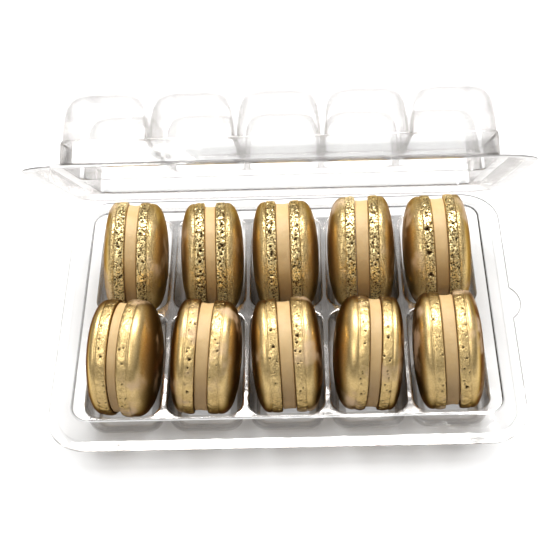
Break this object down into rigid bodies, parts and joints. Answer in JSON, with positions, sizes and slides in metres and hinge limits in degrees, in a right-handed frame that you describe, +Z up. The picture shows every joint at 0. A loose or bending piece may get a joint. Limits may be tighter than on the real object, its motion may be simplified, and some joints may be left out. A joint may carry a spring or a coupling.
{
  "type": "macaron blister pack",
  "caption": "Clear hinged clamshell tray with macarons standing on edge in two rows of cavities, its domed lid standing half open.",
  "frame": {"origin": "under the middle of the whole pack with its lid open, at the height of the surface it stands on", "axes": "+X along the rows to the right, +Y towards the hinge at the back, +Z up"},
  "size_m": [0.1902, 0.1444, 0.1255],
  "materials": {
    "clear_sheet": "clear glossy thermoformed sheet",
    "gold_shell": "satin gold dusting over baked meringue",
    "buttercream": "matte cream filling"
  },
  "bodies": {
    "base": {"tray": "clear_sheet", "macaron_01_left_shell": "gold_shell", "macaron_01_filling": "buttercream", "macaron_01_right_shell": "gold_shell", "macaron_02_left_shell": "gold_shell", "macaron_02_filling": "buttercream", "macaron_02_right_shell": "gold_shell", "macaron_03_left_shell": "gold_shell", "macaron_03_filling": "buttercream", "macaron_03_right_shell": "gold_shell", "macaron_04_left_shell": "gold_shell", "macaron_04_filling": "buttercream", "macaron_04_right_shell": "gold_shell", "macaron_05_left_shell": "gold_shell", "macaron_05_filling": "buttercream", "macaron_05_right_shell": "gold_shell", "macaron_06_left_shell": "gold_shell", "macaron_06_filling": "buttercream", "macaron_06_right_shell": "gold_shell", "macaron_07_left_shell": "gold_shell", "macaron_07_filling": "buttercream", "macaron_07_right_shell": "gold_shell", "macaron_08_left_shell": "gold_shell", "macaron_08_filling": "buttercream", "macaron_08_right_shell": "gold_shell", "macaron_09_left_shell": "gold_shell", "macaron_09_filling": "buttercream", "macaron_09_right_shell": "gold_shell", "macaron_10_left_shell": "gold_shell", "macaron_10_filling": "buttercream", "macaron_10_right_shell": "gold_shell"},
    "lid": {"lid_hinge_half": "clear_sheet", "lid_free_half": "clear_sheet"}
  },
  "joints": [
    {"name": "lid_hinge", "type": "hinge", "parent": "base", "child": "lid", "pos_m": [0, 0.06565, 0.01945], "axis": [-1, 0, 0], "range_deg": [-48.3, 88]}
  ]
}
